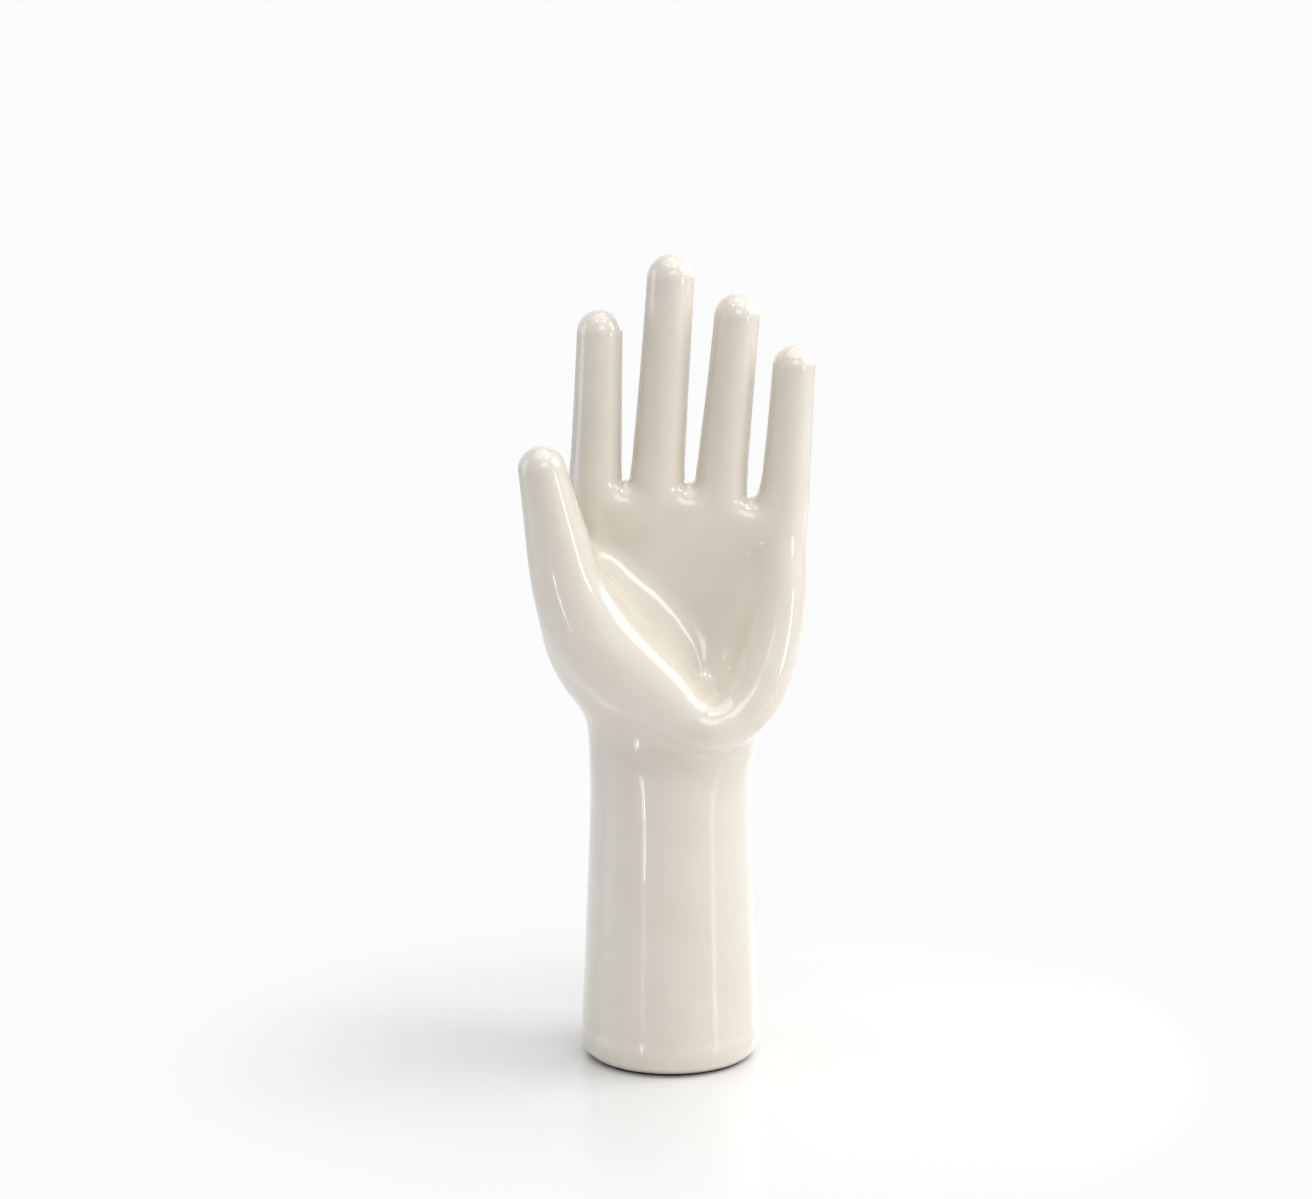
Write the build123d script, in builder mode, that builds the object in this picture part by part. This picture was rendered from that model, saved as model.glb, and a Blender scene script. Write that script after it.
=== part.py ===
from build123d import *
from math import asin, cos, degrees, sin
import os

os.makedirs("parts", exist_ok=True)

# A glazed porcelain hand that stands on its own forearm: a hollow casting with the thumb stuck on,
# a plate that closes the open foot, and a felt under it.
# Millimetres. The origin is the middle of the face that it rests on, +Z is up, the palm faces -Y,
# and the thumb is on the -X side.

# Forearm and foot
wrist_height = 118.0  # from the table to the narrowest part of the wrist
wrist_radius = 33.3
shin_height = 15.5
shin_radius = 37.5  # just above the bead of the foot
foot_height = 9.5
foot_radius = 38.1  # widest part of the foot's bead
foot_tuck = 4.0  # how far the rounding under the bead draws in
wrist_lap = 0.3  # the palm's skin starts this far inside the forearm's

# Palm, from the wrist to the webs of the fingers
palm_length = 120.0
palm_half_width = 56.0
palm_depth = 46.0  # how far the crest of the thumb's muscle stands in front of the forearm's axis

# Fingers, each standing on a root that sinks back into the palm
finger_radius = 10.8  # at the root of the index finger
fingertip_radius = 9.3
finger_root_drop = 7.0  # from the top of the palm's sections down to the roots
finger_root_depth = 3.6  # in front of the forearm's axis
finger_forward_lean = 4.9  # from the root's centre to the rounded tip's
index_length = 77.3
middle_length = 99.3
ring_length = 83.6
little_length = 63.0
web_rise = 8.2  # from the top of the palm's sections to the bottom of the slot between two fingers
web_radius = 9.4
little_web_drop = 7.0

# Thumb
thumb_radius = 15.9
thumb_tip_radius = 9.6
thumb_length = 58.9
thumb_outward_lean = 12.3
thumb_forward_lean = 5.8
thumb_seam_rise = 25.5  # from the root's centre to the joint where the thumb is stuck on

# Casting, foot plate and felt
wall = 4.8
palm_wall = 7.0  # thicker under the hollow of the palm
finger_bore_radius = 4.2
knuckle_bore_depth = 28.0  # how far a finger's bore runs down into the palm
knuckle_bore_set_back = 10.0
thumb_bore_radius = 5.0
thumb_bore_rise = 19.0  # above the wrist, where the thumb's bore leaves the palm's core
foot_bore_height = 24.0  # where the bore widens from the foot's ledge to the forearm
foot_rim_width = 3.2  # unglazed ring that the casting stands on
foot_ledge_width = 1.8  # ledge inside the foot that the plate is bedded against
foot_plate_thickness = 5.0
foot_plate_clearance = 0.3
vent_radius = 4.0
felt_thickness = 1.2
felt_inset = 0.6

# Each finger, from the index to the little one: its root's place across the palm as a share of the
# palm's half width, its sideways lean as a share of its length, and its girth as a share of the
# index finger's
finger_shares = [
    (-0.562, 0.035, 1.00),
    (-0.113, 0.064, 1.03),
    (0.348, 0.089, 0.98),
    (0.820, 0.067, 0.93),
]

# How far out, forward and up the palm the centre of the thumb's root is, as shares of the palm's
# half width, depth and length
thumb_root_shares = (0.70536, 0.67826, 0.658)

# The palm's cross-sections. Heights are shares of the palm's length above the wrist, positions
# across it are shares of its half width, and positions from front to back are shares of its depth.
# Each row: height, left edge (across, back), right edge (across, back), middle of the back, floor of
# the hollow, and how far the section has turned from a round to a hollow.
palm_section_shares = [
    (0.083, (-0.60, 0.00), (0.62, 0.00), 0.72, -0.70, 0.00),
    (0.167, (-0.61, -0.02), (0.67, 0.00), 0.71, -0.79, 0.00),
    (0.242, (-0.62, -0.15), (0.74, -0.17), 0.67, -0.89, 0.15),
    (0.308, (-0.69, -0.28), (0.83, -0.37), 0.64, -0.85, 0.35),
    (0.367, (-0.77, -0.35), (0.89, -0.35), 0.61, -0.72, 0.65),
    (0.433, (-0.85, -0.39), (0.93, -0.33), 0.58, -0.33, 0.80),
    (0.508, (-0.91, -0.44), (0.96, -0.30), 0.53, -0.16, 0.95),
    (0.600, (-0.96, -0.54), (0.99, -0.26), 0.48, -0.06, 1.00),
    (0.700, (-0.97, -0.56), (1.00, -0.20), 0.42, -0.04, 1.00),
    (0.800, (-0.79, -0.08), (1.00, -0.14), 0.37, -0.09, 1.00),
    (0.900, (-0.76, 0.04), (1.00, -0.09), 0.27, -0.22, 0.50),
    (1.000, (-0.70, -0.09), (0.96, -0.09), 0.09, -0.28, 0.50),
]
# The front of the same sections: crest of the thumb's muscle, its flank, the valley under it, the
# foot of the rim on the little finger's side, and the crest of that rim
palm_front_shares = [
    ((-0.52, -0.36), (-0.30, -0.63), (0.01, -0.72), (0.31, -0.63), (0.54, -0.37)),
    ((-0.53, -0.41), (-0.30, -0.63), (0.04, -0.75), (0.32, -0.76), (0.57, -0.52)),
    ((-0.52, -0.49), (-0.23, -0.70), (0.11, -0.88), (0.39, -0.84), (0.64, -0.67)),
    ((-0.18, -0.87), (0.11, -0.89), (0.29, -0.87), (0.43, -0.82), (0.68, -0.72)),
    ((-0.25, -0.92), (0.07, -0.88), (0.27, -0.75), (0.39, -0.72), (0.64, -0.72)),
    ((-0.36, -0.95), (0.02, -0.83), (0.20, -0.39), (0.36, -0.36), (0.64, -0.67)),
    ((-0.50, -0.97), (-0.13, -0.84), (0.11, -0.27), (0.43, -0.22), (0.66, -0.59)),
    ((-0.59, -1.00), (-0.27, -0.80), (-0.02, -0.21), (0.46, -0.13), (0.70, -0.50)),
    ((-0.68, -1.00), (-0.41, -0.84), (-0.23, -0.21), (0.52, -0.17), (0.73, -0.43)),
    ((-0.68, -0.44), (-0.57, -0.39), (-0.43, -0.21), (0.54, -0.17), (0.75, -0.37)),
    ((-0.64, -0.23), (-0.54, -0.23), (-0.39, -0.22), (0.50, -0.26), (0.79, -0.35)),
    ((-0.64, -0.26), (-0.54, -0.27), (-0.27, -0.27), (0.45, -0.27), (0.79, -0.28)),
]
# The same points on a round, a twelfth of it apart on its front half
round_section_shares = (0.0, (-1.0, 0.0), (1.0, 0.0), 1.0, -0.966, 0.0)
round_front_shares = [(-0.866, -0.5), (-0.5, -0.866), (0.0, -1.0), (0.5, -0.866), (0.866, -0.5)]

# The rounding under the foot's bead, as shares of its tuck and of its height
foot_rounding_shares = [(0.58, 0.18), (0.90, 0.55)]

shin_waist_share = 0.994  # the forearm's girth halfway up, of an even taper's
core_width_share = 0.54  # the palm's core, of the palm's width
knuckle_gather_share = 0.25  # how far a bore's lower end has drawn in to the middle of the palm

# Rise of an arc over its chord: a twelfth of a circle, and in a hollow section the muscle's crest, its
# flank and the rim. A quarter's rise is a share of the way from its chord to its corner.
twelfth_rise_share = 0.066
crest_rise_share = 0.08
flank_rise_share = 0.02
rim_rise_share = 0.12
quarter_rise_share = 0.41
back_rise_share = 0.50  # the palm's back is squarer than an ellipse

# Sizes that follow from those above
palm_top = wrist_height + palm_length
web_height = palm_top + web_rise
finger_lengths = [index_length, middle_length, ring_length, little_length]
fingers = [(length, *shares) for length, shares in zip(finger_lengths, finger_shares)]
contact_radius = foot_radius - foot_tuck
plate_seat_radius = contact_radius - foot_rim_width
foot_bore_radius = plate_seat_radius - foot_ledge_width
ledge_height = felt_thickness + foot_plate_thickness
shin_waist = (shin_radius + wrist_radius) / 2 * shin_waist_share
shin_side = [
    (shin_radius, shin_height),
    (shin_waist, (shin_height + wrist_height) / 2),
    (wrist_radius, wrist_height),
]
bore_side = [
    (shin_radius - wall, foot_bore_height),
    (shin_waist - wall, (foot_bore_height + wrist_height) / 2),
    (wrist_radius - wall, wrist_height),
]
foot_rounding = [
    (contact_radius + foot_tuck * across, felt_thickness + (foot_height - felt_thickness) * up)
    for across, up in foot_rounding_shares
]


def section_points(section, front, half_width, depth):
    """The guide points of a section: its left, back, right, the floor of its hollow, then its front."""
    _, left, right, back, floor, _ = section
    _, _, valley, rim_foot, _ = front
    middle_back = ((left[0] + right[0]) / 2, back)
    middle_floor = ((valley[0] + rim_foot[0]) / 2, floor)
    shares = [left, middle_back, right, middle_floor, *front]
    return [Vector(across * half_width, forward * depth) for across, forward in shares]


def draw_section(points, hollow, back_rise):
    """A closed outline of eight arcs: two over the back, one round each side, one down each slope, one
    over the muscle's flank and one through the floor."""

    def corner_arc(start, end, corner, rise_share, to_round):
        along = end - start
        middle = (start + end) / 2
        outward = Vector(-along.Y, along.X) * twelfth_rise_share * to_round
        ThreePointArc(start, middle + (corner - middle) * rise_share + outward, end)

    def front_arc(start, end, rise_share):
        along = end - start
        rise = twelfth_rise_share * (1 - hollow) + rise_share * hollow
        ThreePointArc(start, (start + end) / 2 + Vector(-along.Y, along.X) * rise, end)

    left, back, right, floor, crest, flank, valley, rim_foot, rim = points
    side_rise = quarter_rise_share * hollow
    corner_arc(left, back, Vector(left.X, back.Y), back_rise, 0)
    corner_arc(back, right, Vector(right.X, back.Y), back_rise, 0)
    corner_arc(right, rim, Vector(right.X, rim.Y), side_rise, 1 - hollow)
    front_arc(rim, rim_foot, rim_rise_share)
    ThreePointArc(rim_foot, floor, valley)
    front_arc(valley, flank, flank_rise_share)
    front_arc(flank, crest, crest_rise_share)
    corner_arc(crest, left, Vector(left.X, crest.Y), side_rise, 1 - hollow)


def draw_oval(middle, half_width, half_depth):
    """An upright oval of four arcs."""
    right, back = Vector(half_width, 0), Vector(0, half_depth)
    for start, end in ((right, back), (back, -right), (-right, -back), (-back, right)):
        halfway = (start + end) / 2
        ThreePointArc(middle + start, middle + halfway * (1 + quarter_rise_share), middle + end)


def limb(base, tip, base_radius, tip_radius, start=0.0, end=None):
    """The stretch from start to end of a tapered round limb. Without an end it has a ball for its tip."""
    axis = Vector(*tip) - Vector(*base)
    slope = asin((base_radius - tip_radius) / axis.length)
    across = axis.cross(Vector(0, 1, 0))

    def girth(along):
        return (base_radius - along * sin(slope)) / cos(slope)

    with BuildPart() as turned:
        with BuildSketch(Plane(origin=base, x_dir=across, z_dir=across.cross(axis))):
            with BuildLine():
                if end is None:
                    shoulder = axis.length + tip_radius * sin(slope)
                    Line((girth(start), start), (girth(shoulder), shoulder))
                    CenterArc((0, axis.length), tip_radius, degrees(slope), 90 - degrees(slope))
                    Polyline((0, axis.length + tip_radius), (0, start), (girth(start), start))
                else:
                    Polyline((girth(start), start), (girth(end), end), (0, end), (0, start), close=True)
            make_face()
        revolve(axis=Axis(base, axis))
    return turned.part


def finger_axis(finger):
    """Centres of the ball at a finger's root and of the ball at its tip."""
    length, across_share, lean_share, _ = finger
    root = Vector(across_share * palm_half_width, -finger_root_depth, palm_top - finger_root_drop)
    return root, root + Vector(lean_share * length, -finger_forward_lean, length)


def web(first, second, height):
    """A round bar between two fingers, whose top is the bottom of the slot between them."""
    bar_height = height - web_radius
    ends = []
    for finger in (first, second):
        root, tip = finger_axis(finger)
        ends.append(root + (tip - root) * ((bar_height - root.Z) / (tip.Z - root.Z)))
    with BuildPart() as bar:
        with BuildSketch(Plane(origin=ends[0], z_dir=ends[1] - ends[0])):
            Circle(web_radius)
        extrude(amount=(ends[1] - ends[0]).length)
    return bar.part


# Thumb: a straight limb whose root runs into the muscle of the palm. It is cast by itself and stuck
# on at a flat joint square to its length, because its pocket would lock a mould.
outward, forward, upward = thumb_root_shares
thumb_root = Vector(
    -palm_half_width * outward,
    -palm_depth * forward,
    wrist_height + palm_length * upward,
)
thumb_tip = thumb_root + Vector(-thumb_outward_lean, -thumb_forward_lean, thumb_length)
thumb_limb = (thumb_root, thumb_tip, thumb_radius, thumb_tip_radius)

finger_limbs = []
for finger in fingers:
    root, tip = finger_axis(finger)
    finger_limbs.append(limb(root, tip, finger[-1] * finger_radius, finger[-1] * fingertip_radius))
little_web_height = web_height - little_web_drop
webs = [web(*pair, height) for *pair, height in (
    (fingers[0], fingers[1], web_height),
    (fingers[1], fingers[2], web_height),
    (fingers[2], fingers[3], little_web_height),
)]

# Room inside the casting: the forearm's bore, the palm's core, and a bore up each finger and the thumb
core_radius = wrist_radius - wall - wrist_lap
palm_core = [(wrist_height, Vector(0, 0), core_radius, core_radius)]
palm_rows = list(zip(palm_section_shares, palm_front_shares))
for section, front in palm_rows[5:11:2]:
    left, back, right, floor, *_ = section_points(section, front, palm_half_width, palm_depth)
    core_front, core_back = floor.Y + palm_wall, back.Y - wall
    palm_core.append((
        wrist_height + section[0] * palm_length,
        Vector((left.X + right.X) / 2, (core_front + core_back) / 2),
        (right.X - left.X) / 2 * core_width_share,
        (core_back - core_front) / 2,
    ))
with BuildPart() as core:
    with BuildSketch(Plane.XZ):
        with BuildLine():
            Polyline(
                (0, felt_thickness),
                (plate_seat_radius, felt_thickness),
                (plate_seat_radius, ledge_height),
                (foot_bore_radius, ledge_height),
                (shin_radius - wall, foot_bore_height),
            )
            Spline(*bore_side)
            Polyline((wrist_radius - wall, wrist_height), (0, wrist_height), (0, felt_thickness))
        make_face()
    revolve(axis=Axis.Z)
    for height, *oval in palm_core:
        with BuildSketch(Plane.XY.offset(height)):
            with BuildLine():
                draw_oval(*oval)
            make_face()
    loft(ruled=True)
    for finger in fingers:
        root, tip = finger_axis(finger)
        gathered = root + Vector(-root.X * knuckle_gather_share, knuckle_bore_set_back, -knuckle_bore_depth)
        for start, end in ((gathered, root), (root, tip)):
            with BuildSketch(Plane(origin=start, z_dir=end - start)):
                Circle(finger_bore_radius)
            extrude(amount=(end - start).length)
    core_meeting = Vector(0, 0, wrist_height + thumb_bore_rise)
    for start, end in ((core_meeting, thumb_root), (thumb_root, thumb_tip)):
        with BuildSketch(Plane(origin=start, z_dir=end - start)):
            Circle(thumb_bore_radius)
        extrude(amount=(end - start).length)

# Hand casting: forearm and palm in one skin, the bead of the foot, four fingers and the thumb's root
with BuildPart() as hand_casting:
    lap_radius = wrist_radius - wrist_lap
    with BuildSketch(Plane.XY.offset(wrist_height)):
        with BuildLine():
            lap_points = section_points(round_section_shares, round_front_shares, lap_radius, lap_radius)
            draw_section(lap_points, round_section_shares[-1], quarter_rise_share)
        make_face()
    for section, front in palm_rows:
        with BuildSketch(Plane.XY.offset(wrist_height + section[0] * palm_length)):
            with BuildLine():
                palm_points = section_points(section, front, palm_half_width, palm_depth)
                draw_section(palm_points, section[-1], back_rise_share)
            make_face()
    loft(ruled=True)
    with BuildSketch(Plane.XZ):
        with BuildLine():
            Polyline(
                (0, felt_thickness),
                (contact_radius, felt_thickness),
                *foot_rounding,
                (foot_radius, foot_height),
                (shin_radius, shin_height),
            )
            Spline(*shin_side)
            Polyline((wrist_radius, wrist_height), (0, wrist_height), (0, felt_thickness))
        make_face()
    revolve(axis=Axis.Z)
    add(finger_limbs)
    add(webs)
    add(limb(*thumb_limb, end=thumb_seam_rise))
    add(core.part, mode=Mode.SUBTRACT)

# Thumb casting: the free part of the thumb, stuck on at the seam
with BuildPart() as thumb_casting:
    add(limb(*thumb_limb, start=thumb_seam_rise))
    add(core.part, mode=Mode.SUBTRACT)

# Foot plate: a cast disc bedded against the ledge inside the open foot, with the kiln's vent in it
with BuildPart() as foot_plate:
    with BuildSketch(Plane.XY.offset(felt_thickness)):
        Circle(plate_seat_radius - foot_plate_clearance)
        Circle(vent_radius, mode=Mode.SUBTRACT)
    extrude(amount=foot_plate_thickness)

# Felt: the dark disc glued under the foot, a little smaller than the ring that it covers
with BuildPart() as felt_pad:
    with BuildSketch():
        Circle(contact_radius - felt_inset)
    extrude(amount=felt_thickness)

for name, piece in (
    ("hand_casting", hand_casting),
    ("thumb_casting", thumb_casting),
    ("foot_plate", foot_plate),
    ("felt_pad", felt_pad),
):
    piece.part.label = name
    export_step(piece.part, f"parts/{name}.step")
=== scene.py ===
"""A glazed ceramic hand that stands on its own forearm, on a pale studio floor."""
import math

import bpy
import numpy as np
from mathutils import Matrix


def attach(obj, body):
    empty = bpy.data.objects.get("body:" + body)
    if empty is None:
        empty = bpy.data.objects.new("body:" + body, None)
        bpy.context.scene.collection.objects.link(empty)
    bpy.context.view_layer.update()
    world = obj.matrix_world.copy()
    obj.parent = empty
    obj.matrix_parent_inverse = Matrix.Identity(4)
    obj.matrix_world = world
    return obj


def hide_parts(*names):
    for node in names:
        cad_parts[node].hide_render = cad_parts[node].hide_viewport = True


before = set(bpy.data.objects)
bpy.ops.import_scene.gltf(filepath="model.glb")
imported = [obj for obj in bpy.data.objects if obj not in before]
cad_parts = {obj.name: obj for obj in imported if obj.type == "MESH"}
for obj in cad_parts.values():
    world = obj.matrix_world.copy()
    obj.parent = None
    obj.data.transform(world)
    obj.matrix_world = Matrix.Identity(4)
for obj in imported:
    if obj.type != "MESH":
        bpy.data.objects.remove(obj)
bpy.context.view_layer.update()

# Glazed skin of the hand
# The casting with its stuck-on thumb, under one unbroken coat of cream glaze that hides the seam.
# Its shape is one field of distances in millimetres, whose zero is the skin: round limbs laid along
# smooth lines, the flat of the palm and the turned forearm, run together with soft hollows.
MILLIMETRE = 0.001


def smooth_line(places, knots, values):
    """Values at places on the natural cubic through (knots, values): between two knots the line is
    a cubic whose curvature changes evenly, and the curvature is zero at both ends."""
    knots = np.asarray(knots, float)
    values = np.asarray(values, float)
    gaps = np.diff(knots)
    count = len(knots)
    system = np.eye(count)
    inner = np.arange(1, count - 1)
    system[inner, inner - 1] = gaps[:-1]
    system[inner, inner] = 2 * (gaps[:-1] + gaps[1:])
    system[inner, inner + 1] = gaps[1:]
    slopes = np.diff(values, axis=0) / (gaps if values.ndim == 1 else gaps[:, None])
    bends = np.zeros_like(values)
    bends[1:-1] = 6 * np.diff(slopes, axis=0)
    curvature = np.linalg.solve(system, bends)
    places = np.clip(places, knots[0], knots[-1])
    left = np.clip(np.searchsorted(knots, places) - 1, 0, count - 2)
    gap = gaps[left]
    before = (knots[left + 1] - places) / gap
    after = 1 - before
    if values.ndim > 1:
        gap, before, after = gap[:, None], before[:, None], after[:, None]
    bending = (before**3 - before) * curvature[left] + (after**3 - after) * curvature[left + 1]
    return before * values[left] + after * values[left + 1] + bending * gap**2 / 6


def limb_distance(points, stations, reach=24.0, step=1.6):
    """Distance to a round limb: the least, over the limb's centre line, of the distance to the line's
    point less the girth there, sharpened by a parabola through the three nearest samples.
    A station is a centre and a radius; points further from the limb than reach get that distance.
    The points are taken in parts, so that the table of all their gaps stays small."""
    most_gaps = 12_000_000
    stations = np.asarray(stations, float)
    lengths = np.linalg.norm(np.diff(stations[:, :3], axis=0), axis=1)
    knots = np.concatenate([[0], np.cumsum(lengths)])
    samples = smooth_line(np.linspace(0, knots[-1], int(knots[-1] / step) + 4), knots, stations)
    low = samples[:, :3].min(axis=0) - samples[:, 3].max() - reach
    high = samples[:, :3].max(axis=0) + samples[:, 3].max() + reach
    distance = np.full(len(points), reach)
    near = np.flatnonzero(np.all((points > low) & (points < high), axis=1))
    for part in np.array_split(near, max(1, len(near) * len(samples) // most_gaps)):
        place = points[part]
        squares = (place**2).sum(axis=1)[None] + (samples[:, :3]**2).sum(axis=1)[:, None]
        gaps = np.sqrt(np.maximum(squares - 2 * samples[:, :3] @ place.T, 0)) - samples[:, 3:]
        nearest = np.clip(gaps.argmin(axis=0), 1, len(samples) - 2)
        at = np.arange(len(part))
        before, here, after = gaps[nearest - 1, at], gaps[nearest, at], gaps[nearest + 1, at]
        bend = np.maximum(before - 2 * here + after, 1e-9)
        shift = np.clip((before - after) / (2 * bend), -1, 1)
        distance[part] = here + shift * (after - before) / 2 + shift**2 * bend / 2
    return distance


def run_together(first, second, hollow):
    """The lesser of two distances, lowered near their meeting by the cube of how near they are, so
    that the two skins join in a hollow about as wide as the value given."""
    near = np.clip(1 - np.abs(first - second) / hollow, 0, 1)
    return np.minimum(first, second) - near**3 * hollow / 6


# Forearm and foot, a turned form: heights and radii
forearm_heights = [
    1.2, 2.6, 5.0, 8.6, 11.5, 14.0, 17.0, 30.0, 54.0, 80.0, 105.0, 118.0, 128.0, 138.0, 150.0,
]
forearm_radii = [
    34.3, 35.9, 37.35, 38.05, 37.95, 37.55, 37.45, 36.85, 35.8, 34.7, 33.75, 33.2, 32.3, 29.0, 22.0,
]
foot_bottom = 1.2
forearm_top = 150.0

# Flat of the palm with its hollow: height, left and right edge, widest line and back of its sections
palm_sections = np.array([
    (100, -22.0, 22.0, 0.0, 22.0),
    (118, -27.0, 28.0, 0.0, 27.0),
    (130, -31.2, 34.0, 0.5, 30.5),
    (145, -34.0, 40.4, 0.0, 31.0),
    (156, -35.0, 45.0, 0.0, 29.5),
    (164, -38.0, 47.0, 2.0, 28.0),
    (172, -40.5, 47.2, 4.0, 26.5),
    (180, -42.0, 46.0, 5.0, 25.0),
    (188, -42.5, 46.0, 6.0, 23.5),
    (196, -42.5, 46.5, 6.0, 22.0),
    (204, -42.0, 46.8, 5.0, 20.0),
    (216, -41.0, 47.4, 3.0, 16.5),
    (230, -40.5, 48.0, 0.0, 11.5),
    (246, -39.0, 48.0, -3.0, 6.0),
])
# Front of the same sections at eleven places across, from the thumb's muscle to the outer rim
front_places = [-36, -28, -20, -12, -4, 4, 12, 20, 28, 36, 44]
palm_fronts = np.array([
    (-22.0, -22.0, -22.0, -22.0, -22.0, -22.0, -22.0, -22.0, -22.0, -22.0, -22.0),
    (-27.0, -27.0, -27.0, -27.0, -27.0, -27.0, -27.0, -27.0, -27.0, -27.0, -27.0),
    (-29.0, -29.0, -29.0, -29.0, -29.0, -29.0, -29.0, -29.0, -29.0, -29.0, -29.0),
    (-27.5, -28.5, -29.5, -30.5, -31.2, -31.6, -31.6, -31.2, -30.5, -29.5, -28.5),
    (-26.0, -29.0, -31.5, -33.5, -34.5, -33.0, -29.5, -29.5, -31.5, -32.0, -30.0),
    (-27.0, -30.0, -33.0, -35.5, -35.5, -30.5, -20.5, -21.0, -25.5, -29.5, -30.0),
    (-30.0, -33.0, -36.0, -37.0, -33.5, -23.5, -13.8, -15.5, -20.5, -26.0, -29.0),
    (-34.0, -36.0, -37.5, -34.5, -26.0, -15.5, -9.8, -11.6, -16.8, -22.0, -25.5),
    (-36.0, -37.5, -35.5, -27.5, -17.5, -9.6, -7.4, -9.6, -14.6, -19.2, -22.0),
    (-36.0, -37.0, -29.5, -19.5, -10.8, -6.8, -6.6, -8.8, -13.2, -17.0, -19.5),
    (-36.0, -32.5, -20.5, -11.5, -7.6, -6.4, -6.6, -8.6, -12.2, -15.2, -17.2),
    (-23.0, -15.0, -10.5, -8.8, -8.0, -7.6, -7.8, -8.8, -10.8, -12.8, -14.4),
    (-12.2, -11.8, -11.4, -11.2, -11.0, -11.0, -11.2, -11.6, -12.0, -12.4, -12.6),
    (-11.4, -11.4, -11.4, -11.4, -11.4, -11.4, -11.4, -11.4, -11.4, -11.4, -11.4),
])
palm_roundness = 2.5
palm_top = 234.0

# Thumb with the roll of its muscle, from the tip to the bottom of the palm's hollow
thumb_stations = [
    (-51.8, -37.0, 255.9, 9.6),
    (-47.5, -35.0, 235.0, 11.8),
    (-43.5, -33.0, 216.0, 14.0),
    (-39.8, -31.2, 203.0, 15.2),
    (-33.4, -29.6, 189.5, 16.3),
    (-24.0, -28.4, 177.0, 16.2),
    (-12.0, -28.0, 166.0, 15.0),
    (0.5, -29.0, 155.8, 12.0),
    (8.5, -30.6, 149.6, 8.6),
    (15.0, -31.6, 147.4, 6.8),
]
# Side of the hand under the thumb, down to the wrist
thumb_root_stations = [
    (-40.0, -26.0, 200.0, 13.2),
    (-36.4, -21.0, 186.0, 16.0),
    (-28.4, -16.0, 170.0, 16.8),
    (-15.8, -10.0, 152.0, 16.2),
    (-8.0, -4.0, 136.0, 18.0),
]
# Fold of skin between the thumb's side and the back of the hand
fold_stations = [
    (-35.0, -6.0, 212.0, 8.0),
    (-36.5, -9.0, 200.0, 11.0),
    (-35.0, -8.0, 186.0, 14.0),
    (-29.0, -6.0, 171.0, 14.5),
    (-22.0, -4.0, 158.0, 13.0),
]
# Rim on the little finger's side, from its root to the bottom of the hollow
rim_stations = [
    (45.0, -4.5, 236.0, 7.0),
    (45.0, -6.0, 222.0, 9.2),
    (45.4, -8.5, 207.0, 10.3),
    (44.0, -12.0, 190.0, 11.2),
    (40.2, -16.5, 173.0, 11.9),
    (35.0, -20.8, 160.5, 11.4),
    (28.5, -25.2, 152.6, 9.8),
    (21.0, -29.0, 148.4, 8.0),
    (13.5, -31.4, 147.2, 6.8),
]
# Fingers: each tip, a place halfway, the root, and two places where the limb sinks into the palm
finger_stations = [
    [(-28.9, -8.5, 308.0, 9.3), (-29.9, -6.4, 276.0, 9.95), (-31.0, -4.6, 247.0, 10.6),
     (-31.5, -3.2, 235.0, 10.5), (-31.4, 3.0, 221.0, 9.6), (-31.0, 9.4, 207.0, 8.6)],
    [(0.0, -8.5, 330.3, 9.6), (-2.7, -6.4, 288.0, 10.15), (-5.4, -4.6, 249.0, 10.9),
     (-6.2, -3.2, 236.0, 10.8), (-6.6, 3.2, 222.0, 9.8), (-6.6, 9.6, 208.0, 8.8)],
    [(26.9, -8.5, 314.6, 9.2), (24.0, -6.4, 281.0, 9.75), (20.9, -4.6, 247.0, 10.45),
     (19.9, -3.2, 234.0, 10.3), (19.0, 3.2, 220.0, 9.4), (18.4, 9.6, 206.0, 8.4)],
    [(50.2, -8.5, 294.0, 8.65), (48.8, -6.6, 269.0, 9.2), (47.0, -5.0, 243.0, 9.85),
     (46.0, -4.2, 231.0, 9.7), (44.9, -1.0, 217.0, 8.6), (43.4, 3.0, 203.0, 7.2)],
]
# Webs: half rings that carry one finger's side round the bottom of the slot into the next
web_bottoms = [246.6, 245.6, 239.1]
web_girth_share = 0.93
web_rounds = 4
web_places = 9


def web_stations(left, right, bottom):
    """A half ring in the plane of two neighbouring fingers: the centres lie on a half circle from one
    finger's line to the other's, and its girth is a share of the fingers' there. Its height and its
    width depend on each other, so they are found in a few rounds."""
    girth = (left[2][3] + right[2][3]) / 2 * web_girth_share
    middle = bottom
    for _ in range(web_rounds):
        ends = [
            smooth_line(np.array([middle]), [finger[2][2], finger[1][2]], np.array([finger[2], finger[1]]))[0]
            for finger in (left, right)
        ]
        half = (ends[1][0] - ends[0][0]) / 2
        middle = bottom + half - girth
    centre = (ends[0] + ends[1]) / 2
    turn = np.linspace(0, math.pi, web_places)
    return np.stack([
        centre[0] - half * np.cos(turn),
        centre[1] + 0 * turn,
        middle - half * np.sin(turn),
        girth + 0 * turn,
    ], axis=1)


# How wide the hollows are in which the forms run together
palm_top_hollow = 10.0
wrist_hollow = 14.0
thumb_root_hollow = 12.0
fold_hollow = 12.0
rim_hollow = 13.0
web_hollow = 3.0
knuckle_hollow = 9.0
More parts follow.
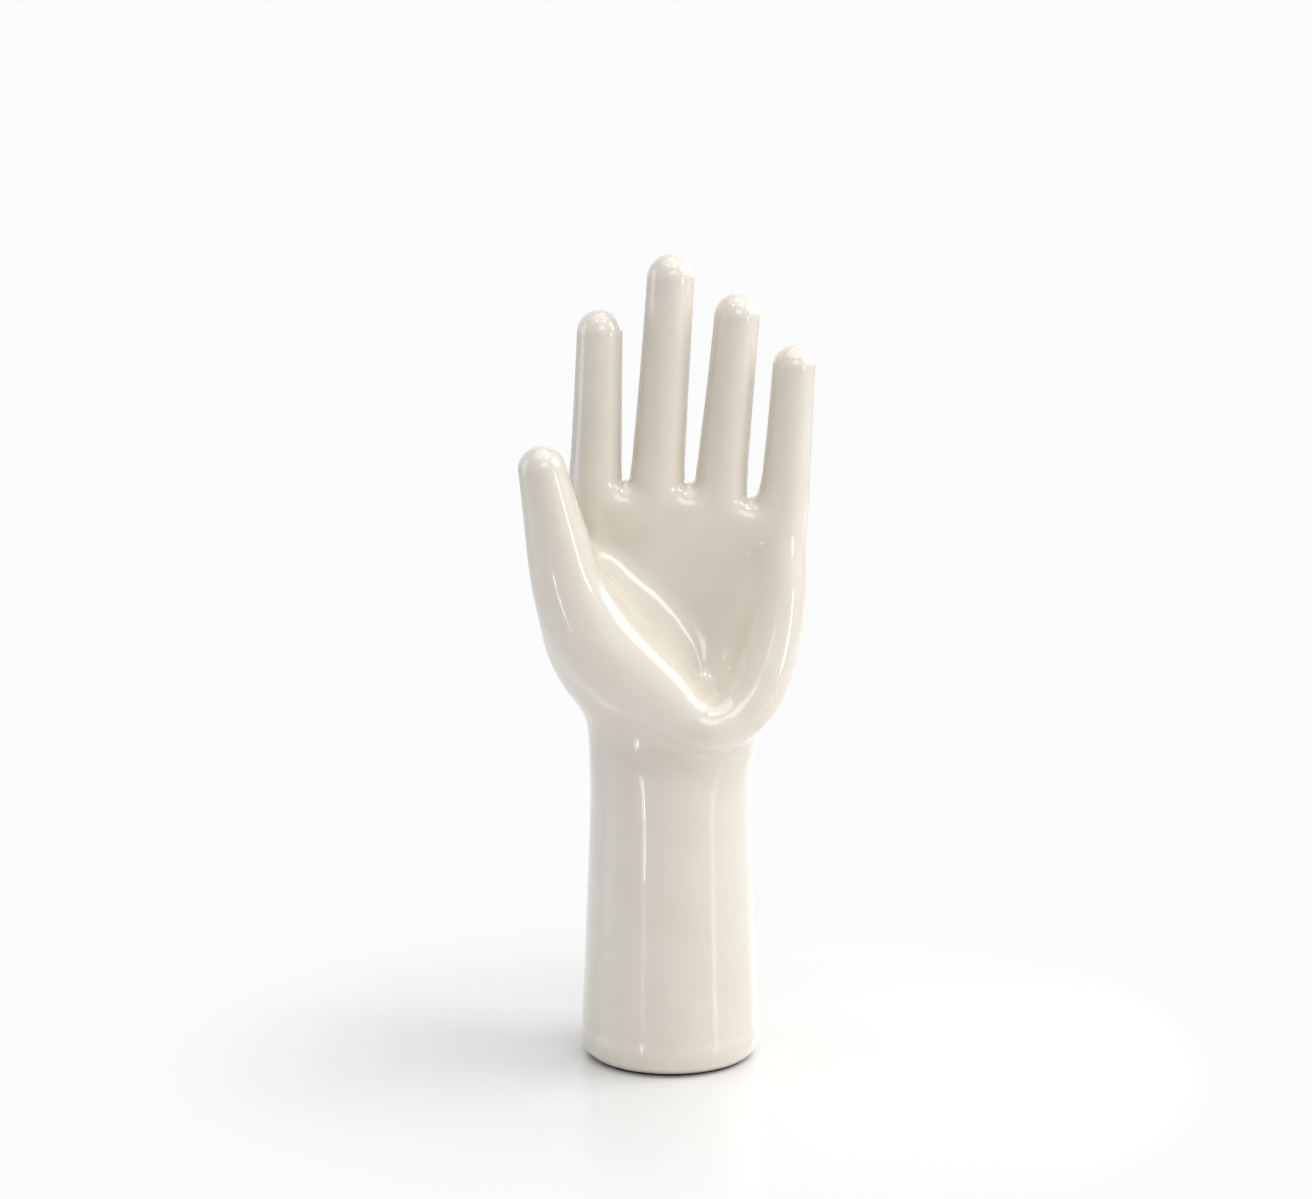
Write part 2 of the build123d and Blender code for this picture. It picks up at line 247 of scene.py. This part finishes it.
# The one beside the thumb's roll widens from a point on the roll, as across and height, towards the
# palm, between a least and a most, and evens out below the height where the thumb stands free
roll_hollow = 10.0
roll_point = (-33.0, 189.0)
roll_to_palm = (0.65, 0.76)
roll_widening = 0.5
roll_least, roll_most = -2.5, 5.0
roll_top, roll_fade = 215.0, 15.0


def skin_distance(points, nudge=0.1):
    """The whole skin's distance, negative inside. The forearm's is the way to its radius, over the
    root of 1 and the square of its steepness. The palm's is how far a rounded oblong of unit size
    would have to grow to reach the point, over how fast that changes; slopes are taken over a nudge."""
    across, forward, height = points.T
    radius = smooth_line(height, forearm_heights, forearm_radii)
    steepness = (smooth_line(height + nudge, forearm_heights, forearm_radii) - radius) / nudge
    forearm = (np.hypot(across, forward) - radius) / np.sqrt(1 + steepness**2)
    forearm = np.maximum(forearm, height - forearm_top)

    left, right, middle, back = smooth_line(height, palm_sections[:, 0], palm_sections[:, 1:]).T
    each_place = np.eye(len(front_places))
    weights = smooth_line(across, front_places, each_place)
    weights_beside = smooth_line(across + nudge, front_places, each_place)
    fronts = smooth_line(height, palm_sections[:, 0], palm_fronts)
    fronts_above = smooth_line(height + nudge, palm_sections[:, 0], palm_fronts)
    front = (weights * fronts).sum(axis=1)
    front_across = (weights_beside * fronts).sum(axis=1) - front
    front_up = (weights * fronts_above).sum(axis=1) - front
    half_width = (right - left) / 2
    aside = across - (left + right) / 2
    wide = np.abs(aside) / half_width
    depth = np.where(forward < middle, front, back) - middle
    deep = (forward - middle) / depth
    size = np.maximum((wide**palm_roundness + deep**palm_roundness)**(1 / palm_roundness), 1e-6)
    wide_part = (wide / size)**(palm_roundness - 1) / half_width * np.sign(aside)
    deep_part = (deep / size)**(palm_roundness - 1) / depth
    leaning = np.where(forward < middle, deep / nudge, 0)
    across_part = wide_part - deep_part * leaning * front_across
    up_part = deep_part * leaning * front_up
    palm = (size - 1) / np.maximum(np.sqrt(across_part**2 + deep_part**2 + up_part**2), 1e-6)
    palm = -run_together(-palm, palm_top - height, palm_top_hollow)

    skin = run_together(forearm, palm, wrist_hollow)
    skin = run_together(skin, limb_distance(points, thumb_root_stations), thumb_root_hollow)
    skin = run_together(skin, limb_distance(points, fold_stations), fold_hollow)
    skin = run_together(skin, limb_distance(points, rim_stations), rim_hollow)
    fingers = [limb_distance(points, stations) for stations in finger_stations]
    webs = [limb_distance(points, web_stations(*pair, bottom))
            for *pair, bottom in zip(finger_stations[:-1], finger_stations[1:], web_bottoms)]
    knuckles = np.minimum.reduce(fingers)
    for limb in webs:
        knuckles = run_together(knuckles, limb, web_hollow)
    skin = run_together(skin, knuckles, knuckle_hollow)
    inward = (across - roll_point[0]) * roll_to_palm[0] + (height - roll_point[1]) * roll_to_palm[1]
    wider = np.clip(inward * roll_widening, roll_least, roll_most)
    wider = wider * np.clip((roll_top - height) / roll_fade, 0, 1)
    skin = run_together(skin, limb_distance(points, thumb_stations), roll_hollow + wider)
    return np.maximum(skin, foot_bottom - height)


def crossing_grid(field, across, forward, height):
    """Corners and four-sided faces of the zero surface of a field on a grid: one corner in each cell
    that the surface crosses, at the mean of the crossings of the cell's edges, and one face round
    each crossed grid edge."""
    axes = (across, forward, height)
    shape = np.array(field.shape)
    cells = tuple(shape - 1)
    total = np.zeros(cells + (3,))
    count = np.zeros(cells)
    edges = []
    for axis in range(3):
        low = field.take(range(shape[axis] - 1), axis=axis)
        high = field.take(range(1, shape[axis]), axis=axis)
        crossed = (low < 0) != (high < 0)
        where = np.array(np.nonzero(crossed))
        portion = low[crossed] / (low[crossed] - high[crossed])
        place = np.stack([line[index] for line, index in zip(axes, where)], axis=1)
        line = axes[axis]
        place[:, axis] += portion * (line[where[axis] + 1] - line[where[axis]])
        others = [other for other in range(3) if other != axis]
        corners = []
        for step_one, step_two in ((1, 1), (0, 1), (0, 0), (1, 0)):
            cell = where.copy()
            cell[others[0]] -= step_one
            cell[others[1]] -= step_two
            flat = np.ravel_multi_index(tuple(cell), cells)
            np.add.at(total.reshape(-1, 3), flat, place)
            np.add.at(count.reshape(-1), flat, 1)
            corners.append(flat)
        quad = np.stack(corners, axis=1)
        outward = (low[crossed] < 0) == (axis != 1)
        quad[~outward] = quad[~outward, ::-1]
        edges.append(quad)
    used = np.flatnonzero(count)
    number = np.zeros(count.size, int)
    number[used] = np.arange(len(used))
    return total.reshape(-1, 3)[used] / count.reshape(-1)[used, None], number[np.concatenate(edges)]


def skin_slope(points, step=0.04):
    """How fast the skin's distance grows along each axis."""
    shifts = np.eye(3) * step
    rises = [skin_distance(points + shift) - skin_distance(points - shift) for shift in shifts]
    return np.stack(rises, axis=1) / (2 * step)


# The grid is fine at the foot's bead and coarse along the plain forearm. A coarse pass over every
# fourth place finds where the skin can't be, and only the places near it are worked out.
grid_step, bead_step, forearm_step = 1.15, 0.6, 2.2
bead_top, wrist_bottom = 18, 100
across = np.arange(-67, 65, grid_step)
forward = np.arange(-52, 40, grid_step)
height = np.concatenate([
    np.arange(-0.3, bead_top, bead_step),
    np.arange(bead_top, wrist_bottom, forearm_step),
    np.arange(wrist_bottom, 345, grid_step),
])
coarse = 4
near_enough = 12
lines = [axis[::coarse] for axis in (across, forward, height)]
lattice = np.stack(np.meshgrid(*lines, indexing="ij"), axis=-1).reshape(-1, 3)
first_pass = skin_distance(lattice).reshape([len(line) for line in lines])
field = first_pass.repeat(coarse, 0).repeat(coarse, 1).repeat(coarse, 2)
field = field[:len(across), :len(forward), :len(height)]
near = np.array(np.nonzero(np.abs(field) < near_enough))
field[tuple(near)] = skin_distance(np.stack([across[near[0]], forward[near[1]], height[near[2]]], axis=1))
corners, faces = crossing_grid(field, across, forward, height)

# The corners even out: each goes half the way to the mean of its neighbours, along the skin and then
# back onto it, except round the foot's bottom edge, which stays sharp
even_rounds = 3
even_share = 0.5
sharp_height = foot_bottom + 0.8
sides = np.concatenate([faces[:, [0, 1]], faces[:, [1, 2]], faces[:, [2, 3]], faces[:, [3, 0]]])
links = np.unique(np.sort(sides, axis=1), axis=0)
for _ in range(even_rounds):
    joined = np.zeros_like(corners)
    neighbours = np.zeros(len(corners))
    for one, other in (links.T, links.T[::-1]):
        for axis in range(3):
            joined[:, axis] += np.bincount(one, corners[other, axis], len(corners))
        neighbours += np.bincount(one, minlength=len(corners))
    slope = skin_slope(corners)
    slope /= np.linalg.norm(slope, axis=1)[:, None]
    drift = joined / neighbours[:, None] - corners
    drift -= slope * (drift * slope).sum(axis=1)[:, None]
    drift[corners[:, 2] < sharp_height] = 0
    corners = corners + even_share * drift
    corners -= slope * skin_distance(corners)[:, None]

skin_mesh = bpy.data.meshes.new("glazed_hand")
skin_mesh.from_pydata(corners * MILLIMETRE, [], faces.tolist())
skin_mesh.shade_smooth()
# How hollow the skin is at each corner, from 0 on a crest to 1 in a hollow: a few millimetres out and
# in along the slope, the distance falls short of that way where other parts of the skin are nearer
probe = 4.0
hollow_gain = 0.35
lift = skin_distance(corners + slope * probe) - probe
sink = skin_distance(corners - slope * probe) + probe
hollow = np.clip(0.5 + (sink - lift) / 2 * hollow_gain, 0, 1)
shade = skin_mesh.attributes.new("hollow", "FLOAT", "POINT")
shade.data.foreach_set("value", hollow.astype(np.float32))
skin = bpy.data.objects.new("glazed_hand", skin_mesh)
bpy.context.scene.collection.objects.link(skin)
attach(skin, "root")
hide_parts("hand_casting", "thumb_casting")

glaze = bpy.data.materials.new("cream_glaze")
glaze.use_nodes = True
glaze_nodes, glaze_links = glaze.node_tree.nodes, glaze.node_tree.links
coat = glaze_nodes["Principled BSDF"]
coat.inputs["IOR"].default_value = 1.5
coat.inputs["Coat Weight"].default_value = 1.0
coat.inputs["Coat Roughness"].default_value = 0.02
coat.inputs["Coat IOR"].default_value = 1.5
glaze_place = glaze_nodes.new("ShaderNodeTexCoord")


def cloud(tree, where, scale, detail):
    """Soft random values between 0 and 1, with about as many lumps in a metre as the scale says."""
    lumps = tree.nodes.new("ShaderNodeTexNoise")
    lumps.inputs["Scale"].default_value = scale
    lumps.inputs["Detail"].default_value = detail
    tree.links.new(where.outputs["Object"], lumps.inputs["Vector"])
    return lumps.outputs["Fac"]


def ramp(tree, value, stops):
    """Colours at places along a value, blended evenly between them."""
    band = tree.nodes.new("ShaderNodeValToRGB")
    while len(band.color_ramp.elements) < len(stops):
        band.color_ramp.elements.new(0.5)
    for element, (position, colour) in zip(band.color_ramp.elements, stops):
        element.position = position
        element.color = (*colour, 1)
    tree.links.new(value, band.inputs["Fac"])
    return band.outputs["Color"]


def blend_colours(tree, kind, amount, first, second):
    """Two colours run together in the way named, by an amount or by a linked value."""
    blend = tree.nodes.new("ShaderNodeMix")
    blend.data_type = "RGBA"
    blend.blend_type = kind
    if isinstance(amount, float):
        blend.inputs[0].default_value = amount
    else:
        tree.links.new(amount, blend.inputs[0])
    tree.links.new(first, blend.inputs[6])
    tree.links.new(second, blend.inputs[7])
    return blend.outputs[2]


# The glaze lies thin on crests and thick in hollows, where it is warmer, with faint clouds in it
thick = glaze_nodes.new("ShaderNodeAttribute")
thick.attribute_name = "hollow"
body = ramp(glaze.node_tree, thick.outputs["Fac"], [
    (0.0, (0.80, 0.75, 0.67)), (0.5, (0.80, 0.742, 0.655)), (1.0, (0.82, 0.755, 0.66)),
])
clouds = ramp(glaze.node_tree, cloud(glaze.node_tree, glaze_place, 38.0, 3.0), [
    (0.35, (0.965, 0.96, 0.95)), (0.65, (1.0, 1.0, 1.0)),
])
body = blend_colours(glaze.node_tree, "MULTIPLY", 1.0, body, clouds)
# Bare ring at the bottom, wiped clean before firing, with a wavering edge
bare_height = 0.0022
bare_edge = 0.0004
waver_height = 0.0006
wiped = glaze_nodes.new("ShaderNodeSeparateXYZ")
glaze_links.new(glaze_place.outputs["Object"], wiped.inputs["Vector"])
waver = glaze_nodes.new("ShaderNodeMath")
waver.operation = "MULTIPLY_ADD"
waver.inputs[1].default_value = waver_height
glaze_links.new(cloud(glaze.node_tree, glaze_place, 60.0, 2.0), waver.inputs[0])
glaze_links.new(wiped.outputs["Z"], waver.inputs[2])
bare = glaze_nodes.new("ShaderNodeMapRange")
bare.inputs["From Min"].default_value = bare_height
bare.inputs["From Max"].default_value = bare_height + bare_edge
bare.inputs["To Min"].default_value = 1.0
bare.inputs["To Max"].default_value = 0.0
glaze_links.new(waver.outputs[0], bare.inputs["Value"])
bisque_tone = ramp(glaze.node_tree, cloud(glaze.node_tree, glaze_place, 900.0, 2.0), [
    (0.3, (0.56, 0.50, 0.42)), (0.7, (0.66, 0.60, 0.51)),
])
body = blend_colours(glaze.node_tree, "MIX", bare.outputs["Result"], body, bisque_tone)
glaze_links.new(body, coat.inputs["Base Color"])
roughness = glaze_nodes.new("ShaderNodeMapRange")
roughness.inputs["To Min"].default_value = 0.22
roughness.inputs["To Max"].default_value = 0.8
glaze_links.new(bare.outputs["Result"], roughness.inputs["Value"])
glaze_links.new(roughness.outputs["Result"], coat.inputs["Roughness"])
# Faint waviness that the glaze keeps from running and from the skin of the casting
ripple = glaze_nodes.new("ShaderNodeBump")
ripple.inputs["Strength"].default_value = 0.05
ripple.inputs["Distance"].default_value = 0.0006
glaze_links.new(cloud(glaze.node_tree, glaze_place, 60.0, 1.0), ripple.inputs["Height"])
glaze_links.new(ripple.outputs["Normal"], coat.inputs["Normal"])
glaze_links.new(ripple.outputs["Normal"], coat.inputs["Coat Normal"])
skin_mesh.materials.append(glaze)

# Foot plate
# The disc of fired, unglazed clay that closes the foot from inside, bedded against its ledge and
# hidden by the near-black disc of painted shade under the foot.
bisque = bpy.data.materials.new("bare_bisque")
bisque.use_nodes = True
clay = bisque.node_tree.nodes["Principled BSDF"]
clay.inputs["Roughness"].default_value = 0.85
clay_place = bisque.node_tree.nodes.new("ShaderNodeTexCoord")
clay_tone = ramp(bisque.node_tree, cloud(bisque.node_tree, clay_place, 500.0, 4.0), [
    (0.3, (0.76, 0.71, 0.63)), (0.7, (0.84, 0.80, 0.73)),
])
bisque.node_tree.links.new(clay_tone, clay.inputs["Base Color"])
grit = bisque.node_tree.nodes.new("ShaderNodeBump")
grit.inputs["Strength"].default_value = 0.3
grit.inputs["Distance"].default_value = 0.0003
bisque.node_tree.links.new(cloud(bisque.node_tree, clay_place, 1800.0, 2.0), grit.inputs["Height"])
bisque.node_tree.links.new(grit.outputs["Normal"], clay.inputs["Normal"])
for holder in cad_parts["foot_plate"].material_slots:
    holder.material = bisque

# Dark disc under the foot, painted shade
# A thin near-black disc under the foot whose black is painted shade: it draws the dark contact shadow
# under the base. It stands a little inside the foot's edge, and its own edge is soft and not quite even.
shade_disc_radius = 33.5
shade_disc_thickness = 1.2
shade_disc_spokes = 160
# Its edge as shares of radius and thickness, from the underside round the rim to the top
shade_disc_edge_shares = np.array([
    (0.5, 0.0), (0.9, 0.0), (0.985, 0.03), (1.0, 0.3), (0.998, 0.7), (0.985, 0.97), (0.9, 1.0), (0.5, 1.0),
])
# Waves in which the disc's edge strays: height in millimetres, number round the disc and start
shade_disc_waves = [(0.12, 7, 0.4), (0.09, 19, 0.0), (0.06, 43, 1.1)]
shade_disc_turn = np.arange(shade_disc_spokes) * 2 * math.pi / shade_disc_spokes
stray = sum(size * np.sin(count * shade_disc_turn + start) for size, count, start in shade_disc_waves)
shade_disc_outward, shade_disc_upward = shade_disc_edge_shares.T
inner_radius = shade_disc_radius - sum(size for size, _, _ in shade_disc_waves)
shade_disc_reach = shade_disc_outward * (inner_radius + stray[:, None] * shade_disc_outward**8)
shade_disc_corners = np.stack([
    shade_disc_reach * np.cos(shade_disc_turn)[:, None],
    shade_disc_reach * np.sin(shade_disc_turn)[:, None],
    np.broadcast_to(shade_disc_upward * shade_disc_thickness, shade_disc_reach.shape),
], axis=-1).reshape(-1, 3)
rings = len(shade_disc_edge_shares)
spoke = np.arange(shade_disc_spokes)[:, None] * rings
after = (np.arange(shade_disc_spokes)[:, None] + 1) % shade_disc_spokes * rings
ring = np.arange(rings - 1)[None]
shade_disc_faces = np.stack([
    spoke + ring, after + ring, after + ring + 1, spoke + ring + 1,
], axis=-1).reshape(-1, 4)
low_middle = np.full(shade_disc_spokes, len(shade_disc_corners))
shade_disc_fans = np.concatenate([
    np.stack([low_middle, after[:, 0], spoke[:, 0]], axis=1),
    np.stack([low_middle + 1, spoke[:, 0] + rings - 1, after[:, 0] + rings - 1], axis=1),
])
shade_disc_corners = np.concatenate([shade_disc_corners, [(0, 0, 0), (0, 0, shade_disc_thickness)]])
shade_disc_mesh = bpy.data.meshes.new("painted_shade_disc")
shade_disc_mesh.from_pydata(shade_disc_corners * MILLIMETRE, [], shade_disc_faces.tolist() + shade_disc_fans.tolist())
shade_disc_mesh.shade_smooth()
shade_disc = bpy.data.objects.new("painted_shade_disc", shade_disc_mesh)
bpy.context.scene.collection.objects.link(shade_disc)
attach(shade_disc, "root")
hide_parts("felt_pad")
# The disc's near-black colour is painted shade, standing in for the dark contact shadow under the foot
shade_disc_black = bpy.data.materials.new("painted_contact_shade")
shade_disc_black.use_nodes = True
shade_disc_surface = shade_disc_black.node_tree.nodes["Principled BSDF"]
shade_disc_surface.inputs["Roughness"].default_value = 0.95
shade_disc_surface.inputs["Specular IOR Level"].default_value = 0.2
shade_disc_surface.inputs["Sheen Weight"].default_value = 0.3
shade_disc_surface.inputs["Sheen Roughness"].default_value = 0.5
shade_disc_place = shade_disc_black.node_tree.nodes.new("ShaderNodeTexCoord")
shade_disc_tone = ramp(shade_disc_black.node_tree, cloud(shade_disc_black.node_tree, shade_disc_place, 2200.0, 4.0), [
    (0.3, (0.012, 0.012, 0.013)), (0.7, (0.040, 0.039, 0.038)),
])
shade_disc_black.node_tree.links.new(shade_disc_tone, shade_disc_surface.inputs["Base Color"])
shade_disc_bump = shade_disc_black.node_tree.nodes.new("ShaderNodeBump")
shade_disc_bump.inputs["Strength"].default_value = 0.6
shade_disc_bump.inputs["Distance"].default_value = 0.0002
shade_disc_black.node_tree.links.new(cloud(shade_disc_black.node_tree, shade_disc_place, 2600.0, 3.0), shade_disc_bump.inputs["Height"])
shade_disc_black.node_tree.links.new(shade_disc_bump.outputs["Normal"], shade_disc_surface.inputs["Normal"])
shade_disc_mesh.materials.append(shade_disc_black)

# Floor and studio
# A sheet of smooth white paper that runs off into plain white. A large lamp hangs overhead, a softer
# one to the right throws the shadow to the left, one behind lights the palm's slope, and small ones
# draw the streaks and spots in the glaze.
floor_mesh = bpy.data.meshes.new("floor")
floor_mesh.from_pydata([(-8, -8, 0), (8, -8, 0), (8, 12, 0), (-8, 12, 0)], [], [(0, 1, 2, 3)])
floor = bpy.data.objects.new("floor", floor_mesh)
bpy.context.scene.collection.objects.link(floor)
plain_white = 0.97


def seen(tree, *others):
    """1 for what the camera sees straight, or by the other kinds of ray named, and 0 for light that falls."""
    path = tree.nodes.new("ShaderNodeLightPath")
    total = path.outputs["Is Camera Ray"]
    for name in others:
        either = tree.nodes.new("ShaderNodeMath")
        either.operation = "MAXIMUM"
        tree.links.new(total, either.inputs[0])
        tree.links.new(path.outputs[name], either.inputs[1])
        total = either.outputs[0]
    return total


paper = bpy.data.materials.new("white_paper")
paper.use_nodes = True
paper_nodes, paper_links = paper.node_tree.nodes, paper.node_tree.links
sheet = paper_nodes["Principled BSDF"]
sheet.inputs["Base Color"].default_value = (0.875, 0.87, 0.867, 1)
sheet.inputs["Roughness"].default_value = 0.22
sheet.inputs["Specular IOR Level"].default_value = 0.35
paper_place = paper_nodes.new("ShaderNodeTexCoord")
far = paper_nodes.new("ShaderNodeVectorMath")
far.operation = "LENGTH"
paper_links.new(paper_place.outputs["Object"], far.inputs[0])
fade = paper_nodes.new("ShaderNodeMapRange")
fade.interpolation_type = "SMOOTHSTEP"
fade.inputs["From Min"].default_value = 0.09
fade.inputs["From Max"].default_value = 0.24
paper_links.new(far.outputs["Value"], fade.inputs["Value"])
amount = paper_nodes.new("ShaderNodeMath")
amount.operation = "MULTIPLY"
paper_links.new(fade.outputs["Result"], amount.inputs[0])
paper_links.new(seen(paper.node_tree, "Is Transmission Ray"), amount.inputs[1])
plain = paper_nodes.new("ShaderNodeEmission")
plain.inputs["Strength"].default_value = plain_white
surface = paper_nodes.new("ShaderNodeMixShader")
paper_links.new(amount.outputs[0], surface.inputs["Fac"])
paper_links.new(sheet.outputs["BSDF"], surface.inputs[1])
paper_links.new(plain.outputs["Emission"], surface.inputs[2])
paper_links.new(surface.outputs["Shader"], paper_nodes["Material Output"].inputs["Surface"])
floor_mesh.materials.append(paper)

world = bpy.data.worlds.new("studio")
bpy.context.scene.world = world
world.use_nodes = True
sky = world.node_tree.nodes["Background"]
sky.inputs["Color"].default_value = (1, 1, 1, 1)
sky.inputs["Strength"].default_value = 0.27
backdrop = world.node_tree.nodes.new("ShaderNodeBackground")
backdrop.inputs["Color"].default_value = (1, 1, 1, 1)
backdrop.inputs["Strength"].default_value = plain_white
choice = world.node_tree.nodes.new("ShaderNodeMixShader")
seen_or_mirrored = seen(world.node_tree, "Is Glossy Ray", "Is Transmission Ray")
world.node_tree.links.new(seen_or_mirrored, choice.inputs["Fac"])
world.node_tree.links.new(sky.outputs["Background"], choice.inputs[1])
world.node_tree.links.new(backdrop.outputs["Background"], choice.inputs[2])
world.node_tree.links.new(choice.outputs["Shader"], world.node_tree.nodes["World Output"].inputs["Surface"])

# Lamps: name, place, the point it faces, width, height, power, colour
for name, place, aim, wide, tall, power, colour in (
    ("overhead", (0.1, -0.1, 2.3), (0, 0, 0), 2.2, 2.2, 20.0, (1, 1, 1)),
    ("key", (1.1, 0.08, 0.92), (0, 0, 0.19), 1.1, 0.8, 10.2, (1.0, 0.99, 0.97)),
    ("back", (0.62, 0.98, 0.47), (0, 0, 0.19), 0.69, 0.38, 2.6, (0.92, 0.98, 1.0)),
    ("front", (0.25, -1.2, 1.0), (0, 0, 0.22), 0.8, 0.5, 3.0, (1, 1, 1)),
    ("window", (0.93, -0.54, 0.24), (0, 0, 0.2), 0.11, 0.24, 0.65, (1, 1, 1)),
    ("fill", (-1.1, 0.05, 0.45), (0, 0, 0.2), 0.5, 0.9, 1.8, (0.80, 0.91, 1.0)),
    ("ceiling_left", (-0.26, -0.39, 1.21), (0, 0, 0.3), 0.06, 0.06, 0.30, (1, 1, 1)),
    ("ceiling_right", (0.33, -0.37, 1.2), (0, 0, 0.3), 0.12, 0.12, 1.20, (1, 1, 1)),
    ("left_strip", (-0.244, -0.358, 0.046), (0, 0, 0.046), 0.007, 0.084, 0.028, (0.80, 0.90, 1.0)),
    ("left_strip_two", (-0.258, -0.345, 0.046), (0, 0, 0.046), 0.005, 0.084, 0.016, (0.80, 0.90, 1.0)),
):
    lamp = bpy.data.lights.new(name, "AREA")
    lamp.shape = "RECTANGLE"
    lamp.size = wide
    lamp.size_y = tall
    lamp.energy = power
    lamp.color = colour
    holder = bpy.data.objects.new(name, lamp)
    toward = np.array(aim) - np.array(place)
    holder.location = place
    holder.rotation_euler = (
        math.acos(-toward[2] / np.linalg.norm(toward)),
        0,
        math.atan2(toward[1], toward[0]) - math.pi / 2,
    )
    holder.visible_camera = False
    bpy.context.scene.collection.objects.link(holder)

# Camera at the height and distance from which the hand is seen, for a frame 1312 points wide
frame_width = 1312
focal_length = 3306
tilt_down = 10.73
viewer = bpy.data.cameras.new("viewer")
viewer.sensor_width = 36
viewer.lens = focal_length * viewer.sensor_width / frame_width
camera = bpy.data.objects.new("viewer", viewer)
camera.location = (-0.006, -1.35, 0.4517)
camera.rotation_euler = (math.radians(90 - tilt_down), 0, 0)
bpy.context.scene.collection.objects.link(camera)
bpy.context.scene.camera = camera
bpy.context.scene.view_settings.view_transform = "Standard"
